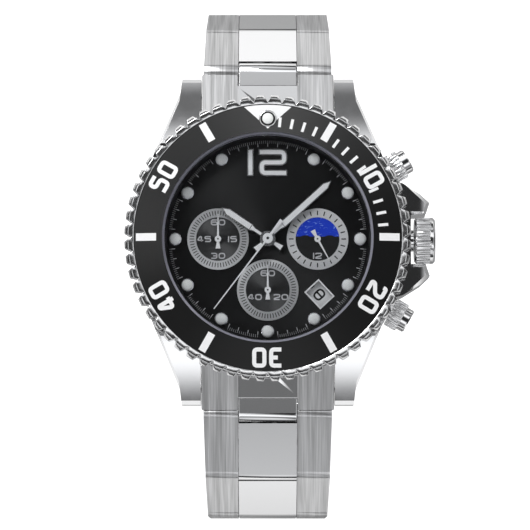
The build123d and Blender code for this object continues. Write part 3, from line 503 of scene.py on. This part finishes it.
def paint(name, colour, rough=0.45, grain=1800.0, depth=0.12, coat=0.0):
    """Paint, lacquer, plastic or printing ink, with a fine grain."""
    material, net = new_material(name)
    x, y, z = net.place()
    speck = net.noise(net.vector(x, y, z), grain)
    darker = tuple(0.88 * part for part in colour[:3]) + (1.0,)
    net.show(net.surface(
        Base_Color=net.blend(speck, darker, colour), Roughness=rough + 0.15 * speck, Coat_Weight=coat,
        Coat_Roughness=0.06, Normal=net.bump(speck, depth, 0.00002)))
    return material


def turned_black(name, level, rough, coat, sheen=0.85, turn=0.0):
    """Black over metal that was turned in fine circles, under a clear coat."""
    material, net = new_material(name)
    x, y, z = net.place()
    rings = net.noise(net.vector((x * x + y * y) ** 0.5 * 9000.0, 0.0, 0.0), 1.0, 2.0)
    dust = net.noise(net.vector(x, y, z), 900.0)
    net.show(net.surface(
        Base_Color=net.blend(rings, grey(level * 0.8), grey(level)), Metallic=1.0,
        Roughness=rough + 0.08 * rings + 0.03 * dust, Anisotropic=sheen, Anisotropic_Rotation=turn,
        Coat_Weight=coat, Coat_Roughness=0.04, Normal=net.bump(rings, 0.06, 0.00001)))
    return material


def every(number):
    return number > -1.0


here = (0.0, 0.0, 0.0)
ink = 0.025
insert_black = turned_black("insert_black", 0.03, 0.26, 0.2)
white_ink = paint("white_ink", grey(0.93), 0.4)
luminous = paint("luminous", (0.95, 0.96, 0.94, 1.0), 0.5, 2600.0, 0.2)
give(insert_black, "bezel_insert")
give(plain_steel, "bezel_pearl")
insert_low, insert_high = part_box("bezel_insert")
insert_outer = insert_high[0] / mm
insert_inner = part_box("crystal")[1][0] / mm + 0.35
insert_slope = 0.8 / (insert_outer - insert_inner)


def on_insert(x, y, level):
    height = insert_high[2] / mm - insert_slope * (math.hypot(x, y) - insert_inner)
    return x, y, height - 0.01 + level * ink


bezel_figures = Sheet(on_insert)
figure_orbit = insert_inner + 2.2
for place, text in zip(range(60, 360, 60), ("10", "20", "30", "40", "50")):
    x, y = turned_place(0.0, figure_orbit, place)
    write_figures(bezel_figures, text, x, y, 2.1, 2.95, 0.6, 0.4, place, 0.22)
triangle = []
for row in range(9):
    share = row / 8
    radius = 16.1 + (insert_outer - 0.08 - 16.1) * share
    spread = 10.2 * (share + 0.004) * (insert_outer / radius)
    triangle.append([turned_place(0.0, radius, spread * (1 - k / 4)) for k in range(9)])
bezel_figures.add_patch(triangle)
new_piece("bezel_figures", bezel_figures.mesh("bezel_figures"), white_ink, "bezel")
ring_of("bezel_bars", bar_mark("bezel_bar", 16.5, 19.5, 1.12, on_insert), 12, 30.0, here,
        lambda i: (i % 2.0) > 0.5, white_ink, "bezel")
ring_of("bezel_minutes", bar_mark("bezel_minute", 16.4, 17.9, 0.42, on_insert), 15, 6.0, here,
        lambda i: (i % 5.0) * (abs(i - 10.0) > 0.5) > 0.5, white_ink, "bezel")
pearl_low, pearl_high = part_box("bezel_pearl")
pearl_orbit = (pearl_low[1] + pearl_high[1]) / 2 / mm
ring_of("pearl_lume", dome_mark("pearl", 0.85, 0.3, pearl_orbit, pearl_high[2] / mm - 0.08), 1, 0.0, here,
        every, luminous, "bezel")

# ---- Dial, its flange ring and minute track.
# The dial is a brass disc brushed from the middle and lacquered black, with three recesses
# stamped in it. Its track is printed in thin grey-white lines, broken at the hour plots.
dial_black = turned_black("dial_black", 0.03, 0.42, 0.0, 0.8, 0.25)
give(dial_black, "dial")
give(paint("flange_black", grey(0.01), 0.35), "rehaut")
dial_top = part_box("dial")[1][2] / mm
silver_ink = paint("silver_ink", grey(0.62, 0.01), 0.3)
track_ink = paint("track_ink", grey(0.45), 0.35)


def on_dial(x, y, level):
    return x, y, dial_top - 0.01 + level * ink


def beside_plots(i):
    """The fifths of a second that are clear of the hour plots. The track runs on through 12."""
    share = i % 25.0
    clear = (share > 4.5) * (share < 20.5)
    return clear.larger((i < 5.5).larger(i > 294.5)) > 0.5


ring_of("track_fifths", bar_mark("fifth", 14.3, 14.75, 0.06, on_dial), 300, 1.2, here, beside_plots,
        track_ink, "root")
ring_of("track_seconds", bar_mark("second", 13.85, 14.4, 0.1, on_dial), 300, 1.2, here,
        lambda i: beside_plots(i) * ((i % 5.0) < 0.5), silver_ink, "root")

# ---- Hour plots and the applied 12.
# The plots are small turned steel cups filled with luminous paste. The 12 is stamped steel
# with bright edges and a white filling, and stands on two feet in the dial.
hand_steel = polished_steel("hand_steel", 0.85, 0.22)
give(hand_steel, "hour_plots")
plot_low, plot_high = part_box("hour_plots")
plot_radius = 0.95
plot_orbit = -plot_low[1] / mm - plot_radius
ring_of("hour_domes", dome_mark("plot", 0.84, 0.3, plot_orbit, plot_high[2] / mm - 0.04), 12, 30.0, here,
        lambda i: i > 0.5, luminous, "root")
numeral_low, numeral_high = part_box("numeral_12")


def above_dial(low, high):
    return lambda x, y, level: (x, y, dial_top + low + level * (high - low))


def draw_twelve(sheet, stroke, inset):
    low, high = numeral_low[1] / mm, numeral_high[1] / mm
    half = 0.46
    one = numeral_low[0] / mm + half
    left, right = numeral_low[0] / mm + 1.7 + half, numeral_high[0] / mm - half
    middle = (low + high) / 2
    sheet.add_strip([(one, low + inset), (one, high - inset)], stroke)
    two = [(left - half + inset, high - half), (right, high - half), (right, middle), (left, middle),
           (left, low + half), (right + half - inset, low + half)]
    sheet.add_strip(round_corners(two, 0.6), stroke)


steel_twelve = Sheet(above_dial(0.0, 0.3))
draw_twelve(steel_twelve, 0.92, 0.0)
white_twelve = Sheet(above_dial(0.28, 0.32))
draw_twelve(white_twelve, 0.58, 0.17)
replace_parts(new_piece("twelve_rim", steel_twelve.mesh("twelve_rim"), hand_steel, "root"),
            "numeral_12")
new_piece("twelve_filling", white_twelve.mesh("twelve_filling"), white_ink, "root")


# ---- Counters.
# Each is a silvered ring with black divisions, glued in its recess round a dark centre that is
# turned in fine circles. The right one shows day and night, with a blue sky over two hills.
def night_sky(name, cx, cy, radius):
    material, net = new_material(name)
    x, y, z = net.place()
    u = (x - cx * mm) * (1 / radius / mm)
    v = (y - cy * mm) * (1 / radius / mm)
    hills = [((u - middle) * (u - middle) + (v + 0.27) * (v + 0.27)) < 0.2 for middle in (-0.56, 0.56)]
    sky = (v > 0.12) * (1.0 - hills[0].larger(hills[1]))
    wander = net.noise(net.vector(u, v, 0.0), 3.0)
    streak = net.noise(net.vector(u * 3.0, v * 16.0 + wander * 9.0, 0.0), 1.0, 2.0)
    blue = net.blend(streak.ramp(0.6, 0.68) * 0.7, (0.004, 0.045, 0.62, 1.0), (0.3, 0.5, 0.95, 1.0))
    net.show(net.surface(Base_Color=net.blend(sky, grey(0.008), blue), Roughness=0.3 + 0.1 * wander,
                         Coat_Weight=0.1, Normal=net.bump(streak, 0.05, 0.00002)))
    return material


give(turned_steel("silvered", 0.85, 0.34, 0.5), "subdial_rings")
black_ink = paint("black_ink", grey(0.01), 0.4)
ring_low, ring_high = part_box("subdial_rings")
ring_top = ring_high[2] / mm
ring_radius = 4.58
ring_hole = 3.26
side = ring_high[0] / mm - ring_radius
below = -ring_low[1] / mm - ring_radius
recess = dial_top - 0.1
counter_figures = Sheet(lambda x, y, level: (x, y, recess + 0.01 + level * 0.02))


def on_ring(x, y, level):
    return x, y, ring_top - 0.005 + level * 0.02


def counter(name, x, y, divisions, texts, centre):
    face = Sheet(lambda px, py, level: (px, py, recess - 0.02 + level * 0.03))
    face.add_plate([(x + (ring_hole + 0.03) * math.cos(math.pi * k / 32),
                     y + (ring_hole + 0.03) * math.sin(math.pi * k / 32)) for k in range(64)])
    new_piece("counter_face_" + name, face.mesh("counter_face_" + name), centre, "root")
    wide = 0.17 if divisions < 60 else 0.12
    mark = bar_mark("division_" + name, ring_hole + 0.3, ring_radius - 0.35, wide, on_ring)
    ring_of("counter_ticks_" + name, mark, divisions, 360.0 / divisions, (x, y, 0), every, black_ink, "root")
    for text, dx, dy in texts:
        write_figures(counter_figures, text, x + dx, y + dy, 1.0, 0.9, 0.18, 0.16)


counter("left", -side, 0.0, 60, (("60", 0, 2.5), ("30", 0, -2.5), ("45", -2.1, 0), ("15", 2.15, 0)),
        turned_black("counter_left", 0.12, 0.3, 0.0, 0.8, 0.25))
counter("lower", 0.0, -below, 60, (("60", 0, 2.5), ("40", -1.95, -1.05), ("20", 1.95, -1.05)),
        turned_black("counter_lower", 0.12, 0.3, 0.0, 0.8, 0.25))
counter("right", side, 0.0, 24, (("12", 0, -2.5),), night_sky("night_sky", side, 0.0, ring_hole))
new_piece("counter_figures", counter_figures.mesh("counter_figures"), silver_ink, "root")

# ---- Date disc and its window.
# The disc is white plastic-coated brass, printed with all the dates. The window is cut aslant
# between 4 and 5, and a thin frame is printed round it.
give(paint("disc_white", grey(0.88), 0.5), "date_disc")
give(white_ink, "date_window_frame")
window_low, window_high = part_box("date_window_frame")
window = (window_low + window_high) / 2 / mm
window_orbit = math.hypot(window[0], window[1])
window_place = math.degrees(math.atan2(window[0], window[1]))
disc_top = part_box("date_disc")[1][2] / mm
days = 31
shown = 8
dates = Sheet(lambda x, y, level: (x, y, disc_top - 0.01 + level * 0.02))
for day in range(1, days + 1):
    place = window_place + (day - shown) * 360.0 / days
    x, y = turned_place(0.0, window_orbit, place)
    wide = 1.45 if day < 10 else 0.92
    write_figures(dates, str(day), x, y, wide, 1.8, 0.28, 0.14, place - 90.0, 0.4)
new_piece("date_figures", dates.mesh("date_figures"), black_ink, "date")


# ---- Hands.
# The hour and minute hands are stamped steel with a white filling that stops just short of
# their edges; the sweep hand and the three small hands are painted white.
def hand_filling(name, body, angle, length, top):
    sheet = Sheet(lambda x, y, level: (x, y, top - 0.01 + level * 0.03))
    shapes = [[(-0.4, 3.1), (0.4, 3.1), (0.4, length - 1.2), (0.0, length - 0.3), (-0.4, length - 1.2)],
              [(-0.19, 1.2), (0.19, 1.2), (0.19, 2.4), (0.36, 3.0), (-0.36, 3.0), (-0.19, 2.4)],
              [(-0.38, -2.46), (0.38, -2.46), (0.2, -1.2), (-0.2, -1.2)]]
    for shape in shapes:
        sheet.add_plate([turned_place(x, y, angle) for x, y in shape])
    new_piece(name, sheet.mesh(name), white_ink, body)


give(hand_steel, "hour_hand", "minute_hand")
give(white_ink, "chrono_hand", "counter_hand", "day_night_hand", "seconds_hand")
hand_filling("hour_filling", "hour", 304.0, 8.3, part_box("hour_hand")[1][2] / mm)
hand_filling("minute_filling", "minute", 47.7, 12.8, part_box("minute_hand")[1][2] / mm)
sweep_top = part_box("chrono_hand")[1][2] / mm
ring_of("sweep_pin", dome_mark("pin", 0.24, 0.05, 0.0, sweep_top - 0.02, 3, 16), 1, 0.0, here, every,
        black_ink, "chrono")
small_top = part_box("counter_hand")[1][2] / mm
for name, body, x, y in (("counter", "counter", -side, 0.0), ("day_night", "day_night", side, 0.0),
                         ("seconds", "seconds", 0.0, -below)):
    ring_of(name + "_pin", dome_mark("pin", 0.15, 0.04, 0.0, small_top - 0.02, 3, 16), 1, 0.0, (x, y, 0.0),
            every, black_ink, body)

# ---- Movement.
# Hidden under the dial: brass plates and wheels, a plastic ring and cover, a green board with
# the battery beside it, and two coils wound with enamelled copper.
brass = polished_steel("brass", 0.6, 0.25)
brass.node_tree.nodes["Principled BSDF"].inputs["Specular Tint"].default_value = (1.0, 0.8, 0.5, 1.0)
give(brass, "main_plate", "cannon_pinion", "minute_wheel", "hour_wheel")
give(paint("movement_plastic", (0.72, 0.72, 0.68, 1.0), 0.55), "movement_ring", "movement_cover")
give(paint("board_green", (0.03, 0.2, 0.09, 1.0), 0.35, 900.0, 0.2, 0.4), "circuit_board")
give(paint("enamelled_copper", (0.55, 0.25, 0.1, 1.0), 0.3, 5200.0, 0.5), "motor_coils")
give(plain_steel, "battery", "stem", "stem_fork", "pusher_springs")

# ---- Crown and pushers.
# The crown is milled with thirty-two flutes and screwed on the stem. Each pusher is a plain
# polished cap inside a knurled collar that screws down on its tube.
give(polished_steel("crown_steel", 0.82, 0.1), "crown", "pusher_collar_2", "pusher_collar_4")
give(plain_steel, "pusher_2", "pusher_4")
break_edges(0.05, "crown", "pusher_collar_2", "pusher_collar_4", segments=1)


# ---- Bracelet.
# Every link has two outer pieces brushed lengthways and a centre piece polished bright. The end
# links are brushed like the outer pieces, and their tongues are polished like the centres.
def link_steel(name, centre_half):
    material, net = new_material(name)
    x, y, z = net.place()
    fine = net.noise(net.vector(x * 7000.0, y * 110.0, z * 110.0), 1.0, 4.0)
    broad = net.noise(net.vector(x * 1600.0, y * 50.0, z * 50.0), 1.0, 2.0)
    hairs = net.noise(net.vector(x, y * 8.0, z * 8.0), 2200.0)
    brushed = net.surface(
        Base_Color=net.blend(fine.ramp(0.25, 0.75) * 0.6 + broad.ramp(0.3, 0.7) * 0.4, grey(0.42), grey(0.82, 0.004)),
        Metallic=1.0, Roughness=0.22 + 0.14 * fine + 0.08 * broad, Normal=net.bump(fine, 0.3, 0.00003))
    polished = net.surface(
        Base_Color=net.blend(hairs, grey(0.78), grey(0.84, 0.006)), Metallic=1.0,
        Roughness=0.07 + 0.05 * hairs, Normal=net.bump(hairs, 0.05, 0.00001))
    net.show(net.make("ShaderNodeMixShader", {}, {0: abs(x) < centre_half, 1: brushed, 2: polished}))
    return material


bracelet_steel = link_steel("bracelet_steel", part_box("end_centres")[1][0] + 0.04 * mm)
link_names = [name for name in nodes if name.startswith("link_") or name.startswith("end_")]
give(bracelet_steel, *link_names)
give(plain_steel, "lug_spring_bars")
break_edges(0.16, *link_names)

# ---- Folding clasp.
# The cover is bent from sheet and brushed along the bracelet; the two blades are stamped from
# thinner sheet and polished, and fold on riveted pins. A small catch holds the cover shut.
clasp_steel = link_steel("clasp_steel", 0.0)
give(clasp_steel, "clasp_cover")
give(plain_steel, "clasp_blade_inner", "clasp_blade_outer", "clasp_catch")
break_edges(0.1, "clasp_cover", "clasp_blade_inner", "clasp_blade_outer", "clasp_catch")

# ---- Floor, light and camera.
# A pale table under a white tent. The tent is open overhead, so that the glass and the dial
# stay dark, and dim round the horizon, so that the polished steel keeps its dark lines.
floor_half = 0.5
floor_level = cad_low[2] - 0.4 * mm
floor_mesh = bpy.data.meshes.new("floor")
floor_mesh.from_pydata([(-floor_half, -floor_half, floor_level), (floor_half, -floor_half, floor_level),
                        (floor_half, floor_half, floor_level), (-floor_half, floor_half, floor_level)], [],
                       [(0, 1, 2, 3)])
floor = bpy.data.objects.new("floor", floor_mesh)
bpy.context.scene.collection.objects.link(floor)
floor_material, net = new_material("floor_white")
x, y, z = net.place()
seen = net.make("ShaderNodeLightPath", {}, out="Is Camera Ray")
grain = net.noise(net.vector(x, y, z), 40.0)
# Painted light: the floor glows. To the camera it is an even white. To the steel's reflections, and in the light it
# casts on the watch, it glows dim near the watch and brighter away from it along Y.
floor_glow_in_steel = abs(y).ramp(0.04, 0.2) * 0.75 + 0.1
net.show(net.surface(Base_Color=grey(0.25), Roughness=0.8 + 0.1 * grain, Emission_Color=grey(1.0),
                     Emission_Strength=(seen * 1.1).larger(floor_glow_in_steel)))
floor_mesh.materials.append(floor_material)

tent = bpy.data.worlds.new("tent")
tent.use_nodes = True
tent.node_tree.nodes.clear()
net = Net(tent.node_tree)
x, y, z = net.split(net.make("ShaderNodeTexCoord", {}, out="Generated"))
ends = abs(y).ramp(0.2, 0.42) * (1.35 - abs(y).ramp(0.48, 0.68) * 1.2 + abs(y).ramp(0.74, 0.84) * 0.7)
sides = abs(x).ramp(0.45, 0.7) * (1.0 - abs(x).ramp(0.88, 0.97)) * 1.2
horizon = abs(z).ramp(0.12, 0.4) * 0.95 + 0.02
glow = ends.larger(sides) * horizon + 0.03
seen = net.make("ShaderNodeLightPath", {}, out="Is Camera Ray")
light = net.make("ShaderNodeBackground", {}, {"Color": (0.97, 0.98, 1.0, 1.0), "Strength": glow})
backdrop = net.make("ShaderNodeBackground", {}, {"Color": grey(1.0), "Strength": 1.0})
net.make("ShaderNodeOutputWorld", {}, {"Surface": net.make("ShaderNodeMixShader", {}, {
    0: seen, 1: light, 2: backdrop})})
bpy.context.scene.world = tent
bpy.context.scene.view_settings.view_transform = "Standard"


def softbox(name, place, width, height, watts):
    data = bpy.data.lights.new(name, "AREA")
    data.shape = "RECTANGLE"
    data.size = width
    data.size_y = height
    data.energy = watts
    lamp = bpy.data.objects.new(name, data)
    lamp.location = place
    lamp.rotation_mode = "QUATERNION"
    lamp.rotation_quaternion = Vector(place).to_track_quat("Z", "Y")
    bpy.context.scene.collection.objects.link(lamp)


softbox("key", (-0.25, 0.35, 0.4), 0.25, 0.25, 2.0)

camera_data = bpy.data.cameras.new("camera")
camera = bpy.data.objects.new("camera", camera_data)
bpy.context.scene.collection.objects.link(camera)
distance = 0.5
tilt = math.radians(5.0)
frame_width = 0.0782
aim = Vector((-0.41 * mm, -4.2 * mm, insert_high[2]))
camera.location = aim + distance * Vector((0.0, -math.sin(tilt), math.cos(tilt)))
camera.rotation_euler = (tilt, 0.0, 0.0)
camera_data.sensor_width = 36.0
camera_data.lens = camera_data.sensor_width * distance / frame_width
camera_data.clip_start = 0.01
bpy.context.scene.camera = camera
